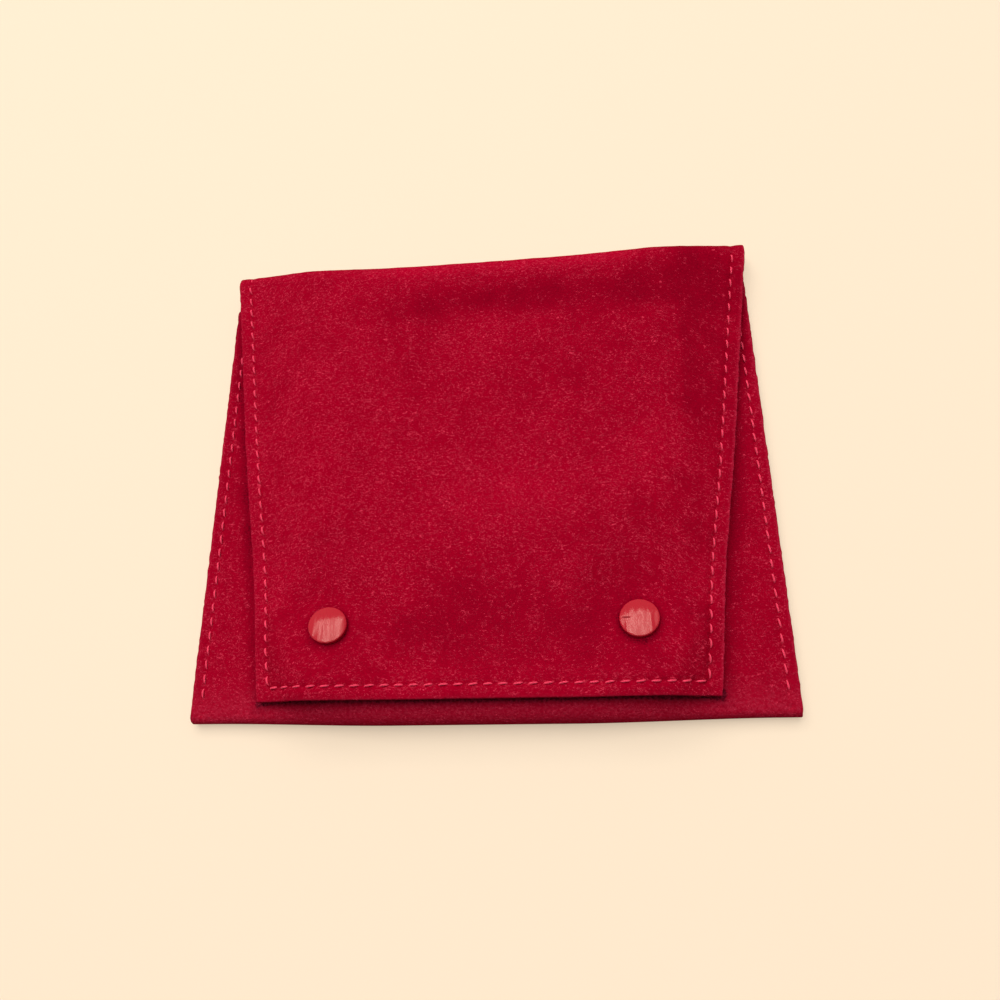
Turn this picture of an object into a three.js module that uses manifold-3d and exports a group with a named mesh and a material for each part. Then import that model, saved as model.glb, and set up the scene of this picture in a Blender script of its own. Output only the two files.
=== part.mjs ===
// Suede jewelry pouch with a fold-over flap and two press studs, in millimetres, +Z up.
// The back rests on z = 0, the flap faces up, +Y runs from the bottom fold to the crease.
import * as THREE from "three";
import { mergeVertices } from "three/addons/utils/BufferGeometryUtils.js";
import Module from "manifold-3d";

// Outline of the closed pouch
const POUCH_HEIGHT = 107;
const BOTTOM_WIDTH = 129;
const CREASE_WIDTH = 120;
const FLAP_END_WIDTH = 97;
const FLAP_END_SETBACK = 5;
const MOUTH_SETBACK = 8;
const FOLD_BOW = 0.8;
const CREASE_BOW = 1.2;

// Suede: two bonded plies
const PLY = 0.75;
const GLUE_LINE = 0.1;
const SPLIT_GAP = 0.1;

// How the empty pocket stands open
const POCKET_DEPTH = 4.5;
const POCKET_FLAT_WIDTH = 38;
const SEAM_GAP = 0.3;
const SEAM_ALLOWANCE = 4;
const FLAP_CLEARANCE = 0.9;
const FLAP_CORNER_LIFT = 2.0;
const FLAP_END_LIFT = 1.2;
const FLAP_END_RISE = 10;

// Seams
const THREAD_DIAMETER = 0.44;
const THREAD_GAP = 0.12;
const SEAM_MARGIN = 2.4;
const FLAP_STITCH_MARGIN = 2.9;
const MOUTH_STITCH_MARGIN = 2.5;
const STITCH_CORNER_RADIUS = 1.2;

// Press studs: where they sit, and how the pull of the flap leans them
const SNAP_SPACING = 65.6;
const SNAP_FROM_BOTTOM = 19.2;
const SNAP_TILT = THREE.MathUtils.degToRad(16);
const SNAP_LEAN = THREE.MathUtils.degToRad(3);
const SNAP_SEAT_GAP = 2.2;
const SNAP_STACK = 2.8;
const SEAT_MARGIN = 0.3;
const SEAT_BLEND = 11;

// Press-stud pieces
const CAP_DIAMETER = 8.2;
const CAP_HEIGHT = 1.45;
const CAP_RIM = 0.3;
const CAP_SHOULDER = 0.75;
const CAP_DIMPLE_RADIUS = 0.45;
const CAP_DIMPLE_DEPTH = 0.12;
const POST_RADIUS = 1.25;
const POST_WALL = 0.45;
const POST_CLEARANCE = 0.15;
const FLANGE_RADIUS = 3.8;
const FLANGE_THICKNESS = 0.5;
const SOCKET_RADIUS = 3.75;
const SOCKET_SHEET = 0.4;
const SOCKET_RIM = 0.2;
const SOCKET_MOUTH_RADIUS = 2.4;
const STUD_BASE_RADIUS = 3.6;
const STUD_BASE_THICKNESS = 0.4;
const STUD_NECK_RADIUS = 1.55;
const STUD_HEAD_RADIUS = 1.95;
const SPRING_WIRE_DIAMETER = 0.4;
const PIECE_GAP = 0.2;

// Fineness of the facets
const INNER_CELLS = 4;
const OUTER_CELLS = 3;
const LENGTH_CELLS = 7;
const FOLD_CELLS = 8;
const TURNING_SIDES = 24;
const THREAD_SIDES = 6;
const SPRING_STEPS = 7;

// Colours and surface
const suede = new THREE.MeshStandardMaterial({ color: 0xa00824, roughness: 0.95, metalness: 0 });
const liningSuede = new THREE.MeshStandardMaterial({ color: 0x960a24, roughness: 0.95, metalness: 0 });
const thread = new THREE.MeshStandardMaterial({ color: 0xe24058, roughness: 0.7, metalness: 0 });
const lacquer = new THREE.MeshStandardMaterial({ color: 0xc42634, roughness: 0.3, metalness: 0.2 });
const nickel = new THREE.MeshStandardMaterial({ color: 0xb9b4aa, roughness: 0.35, metalness: 1 });
const springSteel = new THREE.MeshStandardMaterial({ color: 0x8f8f90, roughness: 0.3, metalness: 1 });

const wasm = await Module();
wasm.setup();

// Sizes that follow
const wall = 2 * PLY + GLUE_LINE;
const halfHeight = POUCH_HEIGHT / 2;
const seamTop = 2 * wall + SEAM_GAP;
const pocketTop = 2 * wall + POCKET_DEPTH;
const flapLevel = pocketTop + FLAP_CLEARANCE;
const threadHeight = THREAD_DIAMETER + 2 * THREAD_GAP;
const creaseEndLevel = seamTop + threadHeight + PIECE_GAP;
const flapCornerLevel = seamTop + FLAP_CORNER_LIFT;
const foldEndRadius = seamTop / 2;
const creaseEndRadius = (creaseEndLevel + wall) / 2;
const foldJointEnd = -halfHeight + FOLD_BOW + foldEndRadius;
const creaseJointEnd = halfHeight - creaseEndRadius;
const flapEnd = -halfHeight + FLAP_END_SETBACK;
const mouthEnd = halfHeight - MOUTH_SETBACK;
const seatHalf = CAP_DIAMETER / 2 + SEAT_MARGIN;
const seatRadius = seatHalf * Math.SQRT2 + SEAT_MARGIN;
const pocketFlat = POCKET_FLAT_WIDTH / 2;
const holeRadius = POST_RADIUS + POST_CLEARANCE;

const ease = (t) => THREE.MathUtils.smoothstep(t, 0, 1);
const mix = THREE.MathUtils.lerp;
const share = THREE.MathUtils.inverseLerp;

// Half width of the body and of the flap at a height y
function bodySide(y) {
  const t = THREE.MathUtils.clamp(share(foldJointEnd, creaseJointEnd, y), 0, 1);
  return mix(BOTTOM_WIDTH / 2, CREASE_WIDTH / 2, t);
}

function flapSide(y) {
  const t = THREE.MathUtils.clamp(share(flapEnd, creaseJointEnd, y), 0, 1);
  return mix(FLAP_END_WIDTH / 2, CREASE_WIDTH / 2, t);
}

// Share of the full pocket depth at x, 1 in the middle and 0 from the seam allowance outwards
function puff(x, y) {
  return 1 - ease(share(pocketFlat, bodySide(y) - SEAM_ALLOWANCE, Math.abs(x)));
}

// The two press studs: a seat point on the front panel and the axis that leans to the crease and inwards
function snapAt(sign) {
  const axis = new THREE.Vector3(-sign * Math.sin(SNAP_LEAN), Math.sin(SNAP_TILT), 0);
  axis.z = Math.sqrt(1 - axis.lengthSq());
  const seat = new THREE.Vector3(
    (sign * SNAP_SPACING) / 2,
    -halfHeight + SNAP_FROM_BOTTOM,
    2 * wall + SNAP_SEAT_GAP,
  );
  return { axis, seat, under: seat.clone().addScaledVector(axis, SNAP_STACK) };
}

const snaps = { left: snapAt(-1), right: snapAt(1) };

// A height blended into the flat seat around each stud; where names the point the seat passes through
function seated(x, y, height, where) {
  let z = height;
  for (const snap of Object.values(snaps)) {
    const p = snap[where];
    const distance = Math.hypot(x - p.x, y - p.y);
    const weight = 1 - ease((distance - seatRadius) / SEAT_BLEND);
    const plane = p.z - (snap.axis.x * (x - p.x) + snap.axis.y * (y - p.y)) / snap.axis.z;
    z = mix(z, plane, weight);
  }
  return z;
}

const frontTop = (x, y) => seated(x, y, seamTop + (pocketTop - seamTop) * puff(x, y), "seat");

// Columns across the pouch, the same for every panel: fixed lines up to the studs, then shares of the rest
function columnsFor(centre) {
  const columns = [];
  const inner = centre - seatHalf;
  for (let i = 0; i < INNER_CELLS; i += 1) columns.push({ x: (inner * i) / INNER_CELLS });
  columns.push({ x: inner }, { x: centre }, { x: centre + seatHalf });
  for (let i = 1; i <= OUTER_CELLS; i += 1) columns.push({ base: centre + seatHalf, share: i / OUTER_CELLS });
  columns.push({ base: centre + seatHalf, edge: true });
  const mirrored = columns.slice(1).reverse().map((c) => ({ ...c, sign: -1 }));
  return mirrored.concat(columns.map((c) => ({ ...c, sign: 1 })));
}

function columnX(column, side, margin) {
  if (column.edge) return column.sign * side;
  if (column.base === undefined) return column.sign * column.x;
  return column.sign * mix(column.base, side - margin, column.share);
}

// How far a column of the flap has drooped, 0 up to the studs and 1 at the side edge
function droop(x, side) {
  return ease(share(snaps.right.under.x + seatHalf, side, Math.abs(x)));
}

// Underside of the flap: its level, raised along the free end, down to its corners and side edges
function flapUnder(x, y, side) {
  const t = THREE.MathUtils.clamp(share(flapEnd, creaseJointEnd, y), 0, 1);
  const edgeLevel = mix(flapCornerLevel, creaseEndLevel, t);
  const level = flapLevel + FLAP_END_LIFT * ease((flapEnd + FLAP_END_RISE - y) / FLAP_END_RISE);
  return seated(x, y, mix(level, edgeLevel, droop(x, side)), "under");
}

// A closed slab between two matching grids of points, top[row][column] above bottom[row][column]
function slab(top, bottom) {
  const rows = top.length;
  const cols = top[0].length;
  const points = [...top.flat(), ...bottom.flat()];
  const at = (layer, i, j) => layer * rows * cols + i * cols + j;
  const index = [];
  const quad = (a, b, c, d) => index.push(a, b, c, a, c, d);
  for (let i = 0; i + 1 < rows; i += 1) {
    for (let j = 0; j + 1 < cols; j += 1) {
      quad(at(0, i, j), at(0, i, j + 1), at(0, i + 1, j + 1), at(0, i + 1, j));
      quad(at(1, i, j), at(1, i + 1, j), at(1, i + 1, j + 1), at(1, i, j + 1));
    }
    quad(at(0, i, 0), at(0, i + 1, 0), at(1, i + 1, 0), at(1, i, 0));
    quad(at(0, i, cols - 1), at(1, i, cols - 1), at(1, i + 1, cols - 1), at(0, i + 1, cols - 1));
  }
  for (let j = 0; j + 1 < cols; j += 1) {
    quad(at(0, 0, j), at(1, 0, j), at(1, 0, j + 1), at(0, 0, j + 1));
    quad(at(0, rows - 1, j), at(0, rows - 1, j + 1), at(1, rows - 1, j + 1), at(1, rows - 1, j));
  }
  const geometry = new THREE.BufferGeometry();
  geometry.setAttribute("position", new THREE.Float32BufferAttribute(points.flat(), 3));
  geometry.setIndex(index);
  return geometry;
}

// Joins and cuts
function toSolid(geometry) {
  const bare = geometry.clone();
  bare.deleteAttribute("normal");
  bare.deleteAttribute("uv");
  const merged = mergeVertices(bare, 1e-4);
  return new wasm.Manifold(new wasm.Mesh({
    numProp: 3,
    vertProperties: new Float32Array(merged.attributes.position.array),
    triVerts: new Uint32Array(merged.index.array),
  }));
}

function toGeometry(solid) {
  const mesh = solid.getMesh();
  const geometry = new THREE.BufferGeometry();
  geometry.setAttribute("position", new THREE.BufferAttribute(new Float32Array(mesh.vertProperties), 3));
  geometry.setIndex(new THREE.BufferAttribute(new Uint32Array(mesh.triVerts), 1));
  return geometry;
}

// Turned pieces: a closed profile of [radius, height] pairs, spun about the stud's axis
function turned(profile) {
  return new THREE.LatheGeometry(profile.map(([r, z]) => new THREE.Vector2(r, z)), TURNING_SIDES);
}

function ontoSnap(geometry, snap) {
  const turn = new THREE.Quaternion().setFromUnitVectors(new THREE.Vector3(0, 1, 0), snap.axis);
  return geometry.clone().applyQuaternion(turn).translate(snap.seat.x, snap.seat.y, snap.seat.z);
}

function punched(geometry) {
  const reach = SNAP_STACK + 4 * wall;
  const punch = turned([[0, -reach], [holeRadius, -reach], [holeRadius, reach], [0, reach]]);
  let solid = toSolid(geometry);
  for (const snap of Object.values(snaps)) solid = solid.subtract(toSolid(ontoSnap(punch, snap)));
  return toGeometry(solid);
}

// Front panel: rows from the bottom fold to the mouth
const frontColumns = columnsFor(snaps.right.seat.x);

function foldRadius(x) {
  return frontTop(x, foldJointEnd) / 2;
}

function foldJoint(x) {
  return -halfHeight + FOLD_BOW * (1 - puff(x, foldJointEnd)) + foldRadius(x);
}

const seatRows = (centre) => [centre - seatHalf, centre, centre + seatHalf];

function frontRows() {
  const rows = [];
  const fixed = seatRows(snaps.right.seat.y);
  rows.push((x) => foldJoint(x) + SPLIT_GAP);
  rows.push((x) => mix(foldJoint(x), fixed[0], 0.5));
  for (const y of fixed) rows.push(() => y);
  const stitch = mouthEnd - MOUTH_STITCH_MARGIN;
  for (let i = 1; i <= LENGTH_CELLS; i += 1) rows.push(() => mix(fixed[2], stitch, i / LENGTH_CELLS));
  rows.push(() => mouthEnd);
  return rows;
}

function frontGrid(drop) {
  return frontRows().map((row) => frontColumns.map((column) => {
    const guess = columnX(column, bodySide(foldJointEnd), SEAM_ALLOWANCE);
    const y = row(guess);
    const x = columnX(column, bodySide(y), SEAM_ALLOWANCE);
    return [x, y, frontTop(x, y) - drop];
  }));
}

// Flap: rows from its free end to the crease, which rolls over with a radius of its own at each column
const flapColumns = columnsFor(snaps.right.under.x);

function creasePlace(column) {
  const x = columnX(column, CREASE_WIDTH / 2, FLAP_STITCH_MARGIN);
  const level = mix(flapLevel, creaseEndLevel, droop(x, CREASE_WIDTH / 2));
  const radius = (level + wall) / 2;
  return { x, radius, joint: halfHeight - CREASE_BOW * puff(x, creaseJointEnd) - radius };
}

function flapRows() {
  const fixed = seatRows(snaps.right.under.y);
  const stitch = flapEnd + FLAP_STITCH_MARGIN;
  const rows = [() => flapEnd, () => stitch, () => mix(stitch, fixed[0], 0.5)];
  for (const y of fixed) rows.push(() => y);
  for (let i = 1; i < LENGTH_CELLS; i += 1) {
    rows.push((column) => mix(fixed[2], creasePlace(column).joint, i / LENGTH_CELLS));
  }
  rows.push((column) => creasePlace(column).joint - SPLIT_GAP);
  return rows;
}

function flapGrid(rise) {
  return flapRows().map((row) => flapColumns.map((column) => {
    const y = row(column);
    const side = flapSide(y);
    const x = columnX(column, side, FLAP_STITCH_MARGIN);
    return [x, y, flapUnder(x, y, side) + rise];
  }));
}

// Rolls at the two folds: rows run round from the back to the face, direction is +1 at the crease
function rollGrid(places, direction, inset) {
  const rows = [];
  for (let i = 0; i <= FOLD_CELLS; i += 1) {
    const turn = -Math.PI / 2 + (Math.PI * i) / FOLD_CELLS;
    rows.push(places.map(({ x, radius, joint }) => {
      const r = radius - inset;
      return [x, joint + direction * r * Math.cos(turn), radius + r * Math.sin(turn)];
    }));
  }
  return direction > 0 ? rows.reverse() : rows;
}

const foldPlaces = frontColumns.map((column) => {
  const x = columnX(column, bodySide(foldJointEnd), SEAM_ALLOWANCE);
  return { x, radius: foldRadius(x), joint: foldJoint(x) };
});
const creasePlaces = flapColumns.map(creasePlace);
const foldRoll = (inset) => rollGrid(foldPlaces, -1, inset);
const creaseRoll = (inset) => rollGrid(creasePlaces, 1, inset);

// Back panel: flat between the two joint lines
function backGrid(z) {
  const low = foldPlaces.map(({ x, joint }) => [x, joint + SPLIT_GAP, z]);
  const high = creasePlaces.map(({ x, joint }) => [x, joint - SPLIT_GAP, z]);
  return [low, high];
}

// Threads: one bead along each row of stitches
function beadAlong(points) {
  const corners = Array.from({ length: THREAD_SIDES }, (_, i) => {
    const turn = (2 * Math.PI * i) / THREAD_SIDES;
    return new THREE.Vector2(Math.cos(turn), Math.sin(turn)).multiplyScalar(THREAD_DIAMETER / 2);
  });
  const path = new THREE.CatmullRomCurve3(points.map((p) => new THREE.Vector3(...p)), false, "centripetal");
  return new THREE.ExtrudeGeometry(new THREE.Shape(corners), {
    steps: 2 * (points.length - 1),
    extrudePath: path,
    curveSegments: 1,
  });
}

function seamPoints(sign) {
  const z = seamTop + THREAD_GAP + THREAD_DIAMETER / 2;
  const from = foldJointEnd + SEAM_MARGIN;
  const to = mouthEnd - SEAM_MARGIN;
  return [0, 1 / 3, 2 / 3, 1].map((t) => {
    const y = mix(from, to, t);
    return [sign * (bodySide(y) - SEAM_MARGIN), y, z];
  });
}

function roundedTurn(before, corner, after) {
  const [a, p, b] = [before, corner, after].map((q) => new THREE.Vector3(...q));
  const start = p.clone().lerp(a, STITCH_CORNER_RADIUS / p.distanceTo(a));
  const end = p.clone().lerp(b, STITCH_CORNER_RADIUS / p.distanceTo(b));
  const middle = start.clone().lerp(end, 0.5).lerp(p, Math.SQRT2 - 1);
  return [start, middle, end].map((q) => q.toArray());
}

// The U round the flap follows the facet lines that run one margin inside its edges
function flapPoints(lift) {
  const grid = flapGrid(lift);
  const last = flapColumns.length - 2;
  const sideRows = grid.slice(2);
  const left = sideRows.map((row) => row[1]).reverse();
  const right = sideRows.map((row) => row[last]);
  const bottom = grid[1].slice(2, last);
  const leftTurn = roundedTurn(grid[2][1], grid[1][1], grid[1][2]);
  const rightTurn = roundedTurn(grid[1][last - 1], grid[1][last], grid[2][last]);
  return [...left, ...leftTurn, ...bottom, ...rightTurn, ...right];
}

function mouthPoints() {
  const rows = frontGrid(-(THREAD_GAP + THREAD_DIAMETER / 2));
  return rows[rows.length - 2].slice(2, -2);
}

// Press-stud profiles, with 0 at the face of the front panel and SNAP_STACK at the flap's lining
function capProfile() {
  const seat = SNAP_STACK + wall + PIECE_GAP / 2;
  const r = CAP_DIAMETER / 2;
  const foot = SNAP_STACK - PIECE_GAP - SOCKET_SHEET;
  return [
    [0, foot],
    [POST_RADIUS, foot],
    [POST_RADIUS, seat],
    [r - CAP_RIM, seat],
    [r, seat + CAP_RIM],
    [r, seat + CAP_SHOULDER],
    [r - CAP_RIM, seat + CAP_SHOULDER + CAP_RIM],
    [0.62 * r, seat + CAP_HEIGHT - 0.1],
    [0.3 * r, seat + CAP_HEIGHT],
    [CAP_DIMPLE_RADIUS, seat + CAP_HEIGHT],
    [0, seat + CAP_HEIGHT - CAP_DIMPLE_DEPTH],
  ];
}

function socketProfile() {
  const top = SNAP_STACK - PIECE_GAP / 2;
  const bottom = STUD_BASE_THICKNESS + PIECE_GAP / 2 + PIECE_GAP;
  const r = SOCKET_RADIUS;
  const wallIn = r - SOCKET_SHEET;
  return [
    [holeRadius, top - SOCKET_SHEET],
    [wallIn, top - SOCKET_SHEET],
    [wallIn, bottom + SOCKET_RIM],
    [SOCKET_MOUTH_RADIUS, bottom + SOCKET_RIM],
    [SOCKET_MOUTH_RADIUS, bottom],
    [r - SOCKET_RIM, bottom],
    [r, bottom + SOCKET_RIM],
    [r, top],
    [holeRadius, top],
    [holeRadius, top - SOCKET_SHEET],
  ];
}

function studProfile() {
  const base = PIECE_GAP / 2;
  const shelf = base + STUD_BASE_THICKNESS;
  const head = SNAP_STACK - PIECE_GAP / 2 - SOCKET_SHEET - PIECE_GAP;
  const waist = mix(shelf, head, 0.4);
  const crown = mix(shelf, head, 0.72);
  return [
    [holeRadius, base],
    [STUD_BASE_RADIUS, base],
    [STUD_BASE_RADIUS, shelf],
    [STUD_NECK_RADIUS + 0.2, shelf],
    [STUD_NECK_RADIUS, waist],
    [STUD_HEAD_RADIUS, crown],
    [STUD_HEAD_RADIUS - 0.2, head - 0.08],
    [holeRadius, head],
    [holeRadius, base],
  ];
}

function postProfile() {
  const under = -wall - PIECE_GAP / 2;
  const top = SNAP_STACK - SOCKET_SHEET - 2.5 * PIECE_GAP;
  const bore = POST_RADIUS - POST_WALL;
  return [
    [bore, under - FLANGE_THICKNESS],
    [FLANGE_RADIUS - FLANGE_THICKNESS / 2, under - FLANGE_THICKNESS],
    [FLANGE_RADIUS, under - FLANGE_THICKNESS / 2],
    [FLANGE_RADIUS, under],
    [POST_RADIUS, under],
    [POST_RADIUS, top],
    [bore, top],
    [bore, under - FLANGE_THICKNESS],
  ];
}

// Ring spring: a round wire with two straight stretches that grip the stud's neck
function springGeometry() {
  const wire = SPRING_WIRE_DIAMETER / 2;
  const chord = STUD_NECK_RADIUS + wire + POST_CLEARANCE / 2;
  const ring = SOCKET_RADIUS - SOCKET_SHEET - wire - PIECE_GAP;
  const bottom = STUD_BASE_THICKNESS + PIECE_GAP / 2 + PIECE_GAP + SOCKET_RIM;
  const height = bottom + PIECE_GAP / 2 + wire;
  const reach = Math.acos(chord / ring);
  const points = [];
  for (const side of [1, -1]) {
    points.push([side * chord, 0]);
    for (let i = 0; i <= SPRING_STEPS; i += 1) {
      const turn = mix(reach, Math.PI - reach, i / SPRING_STEPS);
      points.push([side * ring * Math.cos(turn), side * ring * Math.sin(turn)]);
    }
  }
  const rings = points.map(([x, y], i) => {
    const before = points[(i + points.length - 1) % points.length];
    const after = points[(i + 1) % points.length];
    const along = new THREE.Vector2(after[0] - before[0], after[1] - before[1]).normalize();
    return Array.from({ length: THREAD_SIDES }, (_, k) => {
      const turn = (2 * Math.PI * k) / THREAD_SIDES;
      const out = wire * Math.cos(turn);
      return [x + along.y * out, height + wire * Math.sin(turn), y - along.x * out];
    });
  });
  const index = [];
  for (let i = 0; i < rings.length; i += 1) {
    const next = ((i + 1) % rings.length) * THREAD_SIDES;
    for (let k = 0; k < THREAD_SIDES; k += 1) {
      const a = i * THREAD_SIDES + k;
      const b = i * THREAD_SIDES + ((k + 1) % THREAD_SIDES);
      const c = next + ((k + 1) % THREAD_SIDES);
      const d = next + k;
      index.push(a, b, c, a, c, d);
    }
  }
  const geometry = new THREE.BufferGeometry();
  geometry.setAttribute("position", new THREE.Float32BufferAttribute(rings.flat(2), 3));
  geometry.setIndex(index);
  return geometry;
}

// Assembly
const group = new THREE.Group();
group.name = "jewelry_pouch";

function add(name, geometry, material) {
  const mesh = new THREE.Mesh(geometry, material);
  mesh.name = name;
  group.add(mesh);
}

const plies = [
  { prefix: "outer", material: suede, near: 0, far: PLY },
  { prefix: "lining", material: liningSuede, near: PLY + GLUE_LINE, far: wall },
];

for (const { prefix, material, near, far } of plies) {
  add(`${prefix}_back`, slab(backGrid(far), backGrid(near)), material);
  add(`${prefix}_fold`, slab(foldRoll(near), foldRoll(far)), material);
  add(`${prefix}_front`, punched(slab(frontGrid(near), frontGrid(far))), material);
  add(`${prefix}_crease`, slab(creaseRoll(near), creaseRoll(far)), material);
  add(`${prefix}_flap`, punched(slab(flapGrid(wall - near), flapGrid(wall - far))), material);
}

add("seam_thread_left", beadAlong(seamPoints(-1)), thread);
add("seam_thread_right", beadAlong(seamPoints(1)), thread);
add("mouth_thread", beadAlong(mouthPoints()), thread);
const beadOffset = THREAD_GAP + THREAD_DIAMETER / 2;
add("flap_thread_outside", beadAlong(flapPoints(wall + beadOffset)), thread);
add("flap_thread_inside", beadAlong(flapPoints(-beadOffset)), thread);

for (const [side, snap] of Object.entries(snaps)) {
  add(`snap_cap_${side}`, ontoSnap(turned(capProfile()), snap), lacquer);
  add(`snap_socket_${side}`, ontoSnap(turned(socketProfile()), snap), nickel);
  add(`snap_spring_${side}`, ontoSnap(springGeometry(), snap), springSteel);
  add(`snap_stud_${side}`, ontoSnap(turned(studProfile()), snap), nickel);
  add(`snap_post_${side}`, ontoSnap(turned(postProfile()), snap), nickel);
}

export default group;
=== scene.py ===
"""Looks of a suede jewelry pouch: a sewn pocket, a fold-over flap and two press studs.

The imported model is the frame. Surfaces are worked out in millimetres and put into meshes in metres.
"""
import math

import bpy
import numpy as np
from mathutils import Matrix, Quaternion, Vector


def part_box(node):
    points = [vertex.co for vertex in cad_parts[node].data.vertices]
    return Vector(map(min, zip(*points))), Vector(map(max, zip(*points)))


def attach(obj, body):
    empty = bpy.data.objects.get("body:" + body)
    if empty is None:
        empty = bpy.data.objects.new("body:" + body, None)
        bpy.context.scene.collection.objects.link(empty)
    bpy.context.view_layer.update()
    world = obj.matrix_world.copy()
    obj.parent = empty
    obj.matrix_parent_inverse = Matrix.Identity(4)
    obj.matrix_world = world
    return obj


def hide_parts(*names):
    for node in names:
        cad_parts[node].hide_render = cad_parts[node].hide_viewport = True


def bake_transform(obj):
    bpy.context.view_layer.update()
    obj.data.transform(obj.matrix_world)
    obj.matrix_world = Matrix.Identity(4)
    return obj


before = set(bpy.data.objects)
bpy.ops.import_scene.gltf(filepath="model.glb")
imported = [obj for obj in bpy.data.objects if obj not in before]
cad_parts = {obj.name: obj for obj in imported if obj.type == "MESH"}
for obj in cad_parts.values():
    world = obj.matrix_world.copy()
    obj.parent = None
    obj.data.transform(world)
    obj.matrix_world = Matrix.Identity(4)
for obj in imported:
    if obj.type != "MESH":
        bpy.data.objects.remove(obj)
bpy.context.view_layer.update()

# Outer suede of the pocket
# One strip of brushed microsuede makes the front, turns under at the bottom fold and runs up the back.
# It is cut with a knife, and its lining is bonded behind it. The two side seams pull grooves into it.
MM = 0.001
PLY = 0.75
GLUE_LINE = 0.1
SEAM_GAP = 0.3
SEAM_ALLOWANCE = 4
POCKET_DEPTH = 4.5
POCKET_FLAT_WIDTH = 38
MOUTH_SETBACK = 8
FOLD_BOW = 0.8
CREASE_BOW = 1.2
FLAP_CLEARANCE = 0.9
SEAM_MARGIN = 2.4
MOUTH_MARGIN = 2.5
HEM_MARGIN = 2.9
CORNER_STITCH = 5.9
CUT_ROUNDING = 0.26
CUT_RAG = 0.12
SHARP_FROM = math.radians(48)
MOUTH_CORNER = 1.2
# Where the painted shadow line of the flap's free end lies across the front panel
FLAP_END_SHADOW_LINE = -48.2

STUD_SPACING = 65.6
STUD_FROM_BOTTOM = 19.2
STUD_TILT = math.radians(16)
STUD_LEAN = math.radians(3)
STUD_SEAT_GAP = 2.2
STUD_STACK = 2.8
CAP_DIAMETER = 8.2
SEAT_MARGIN = 0.3
SEAT_BLEND = 11
SEAT_BLEND_STRETCH = 0.4
SEAT_LEVELLING = 2


def corners_of(node):
    """Lowest and highest corner of a node of the frame, in millimetres."""
    low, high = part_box(node)
    return np.array(low) / MM, np.array(high) / MM


fold_low, fold_high = corners_of("outer_fold")
crease_low, crease_high = corners_of("outer_crease")
BOTTOM_WIDTH = fold_high[0] - fold_low[0]
CREASE_WIDTH = crease_high[0] - crease_low[0]
HALF_HEIGHT = crease_high[1]
WALL = 2 * PLY + GLUE_LINE
SEAM_TOP = 2 * WALL + SEAM_GAP
POCKET_TOP = 2 * WALL + POCKET_DEPTH
FLAP_LEVEL = POCKET_TOP + FLAP_CLEARANCE
CREASE_END_LEVEL = SEAM_TOP + 0.88
FOLD_JOINT_END = -HALF_HEIGHT + FOLD_BOW + SEAM_TOP / 2
CREASE_JOINT_END = HALF_HEIGHT - (CREASE_END_LEVEL + WALL) / 2
MOUTH_END = HALF_HEIGHT - MOUTH_SETBACK
SEAT_HALF = CAP_DIAMETER / 2 + SEAT_MARGIN
SEAT_RADIUS = SEAT_HALF * math.sqrt(2) + SEAT_MARGIN


def ease(t):
    """Smooth step: 0 up to t = 0, 1 from t = 1, and 3t² - 2t³ between."""
    t = np.clip(t, 0, 1)
    return t * t * (3 - 2 * t)


def hump(t):
    """Bell curve: 1 at t = 0, exp(-t²) around it."""
    return np.exp(-t * t)


def body_side(y):
    """Half width of the pocket at y, an even taper from the bottom fold to the crease."""
    return np.interp(y, [FOLD_JOINT_END, CREASE_JOINT_END], [BOTTOM_WIDTH / 2, CREASE_WIDTH / 2])


def mouth_corner(y):
    """How far the rounded corners of the mouth have come in from the side: a quarter round."""
    inside = np.clip(MOUTH_CORNER - (MOUTH_END - y), 0, MOUTH_CORNER)
    return MOUTH_CORNER - np.sqrt(MOUTH_CORNER**2 - inside**2)


def puff(x, y):
    """Share of the pocket's depth at x: 1 in the middle, eased to 0 at the seam allowance."""
    flat = POCKET_FLAT_WIDTH / 2
    return 1 - ease((np.abs(x) - flat) / (body_side(y) - SEAM_ALLOWANCE - flat))


def stud_at(sign):
    """A stud's seat on the front panel, its place under the flap, and its axis, leaning to the crease."""
    axis = np.array([-sign * math.sin(STUD_LEAN), math.sin(STUD_TILT), 0])
    axis[2] = math.sqrt(1 - axis @ axis)
    seat = np.array([sign * STUD_SPACING / 2, STUD_FROM_BOTTOM - HALF_HEIGHT, 2 * WALL + STUD_SEAT_GAP])
    return {"axis": axis, "seat": seat, "under": seat + axis * STUD_STACK}


STUDS = {"left": stud_at(-1), "right": stud_at(1)}


def stud_pull(x, y, where):
    """How far each point is pulled to a stud's flat seat: 1 on the seat, eased to 0 around it.
    Towards the crease it eases over a longer way, as if that way were shorter by SEAT_BLEND_STRETCH."""
    pulls = []
    for stud in STUDS.values():
        above = y - stud[where][1]
        above = above - SEAT_BLEND_STRETCH * np.maximum(above - SEAT_RADIUS, 0)
        distance = np.hypot(x - stud[where][0], above)
        pulls.append(1 - ease((distance - SEAT_RADIUS) / SEAT_BLEND))
    return pulls


def seated(x, y, height, where):
    """A height field blended into the tilted plane of each stud's seat, which levels off exponentially
    past the seat on the crease's side."""
    for stud, pull in zip(STUDS.values(), stud_pull(x, y, where)):
        axis, at = stud["axis"], stud[where]
        past = np.maximum(y - at[1] - SEAT_RADIUS, 0)
        up = y - at[1] - past + SEAT_LEVELLING * (1 - np.exp(-past / SEAT_LEVELLING))
        plane = at[2] - (axis[0] * (x - at[0]) + axis[1] * up) / axis[2]
        height = height + (plane - height) * pull
    return height


def front_height(x, y):
    """Top of the front panel: the seam's level at the sides, the pocket's depth in the middle."""
    return seated(x, y, SEAM_TOP + (POCKET_TOP - SEAM_TOP) * puff(x, y), "seat")


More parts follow.
